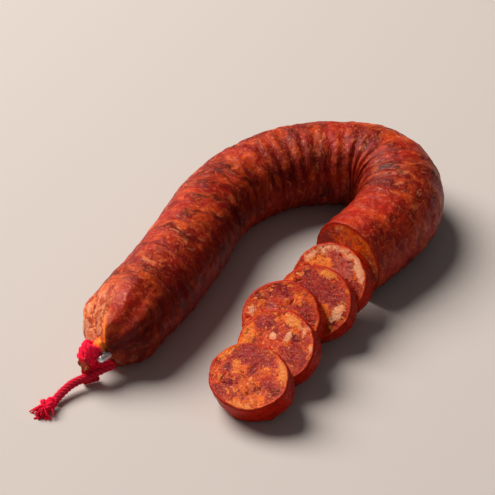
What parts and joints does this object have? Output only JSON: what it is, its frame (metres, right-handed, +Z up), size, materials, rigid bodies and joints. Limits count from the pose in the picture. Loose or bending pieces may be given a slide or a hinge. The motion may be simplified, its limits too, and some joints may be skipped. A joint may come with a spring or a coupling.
{
  "type": "cured sausage",
  "caption": "Cured red sausage bent into a horseshoe, tied and clipped at one end, cut at the other, with the cut slices leaning in the line of its leg.",
  "frame": {"origin": "middle of the ground box of everything but the free string, on the ground", "axes": "+Y along the legs towards the bend, +X towards the sliced leg, +Z up"},
  "size_m": [0.1118, 0.2215, 0.0375],
  "materials": {
    "casing": "satin, wrinkled",
    "cut_meat": "moist, coarse",
    "clip_metal": "satin",
    "red_string": "twisted fibres"
  },
  "bodies": {
    "root": {"sausage": "casing", "slice_1": "cut_meat", "slice_2": "cut_meat", "slice_3": "cut_meat", "slice_4": "cut_meat", "slice_5": "cut_meat", "clip": "clip_metal", "string_wrap": "red_string", "string": "red_string", "string_end": "red_string", "string_knot": "red_string"}
  },
  "joints": []
}
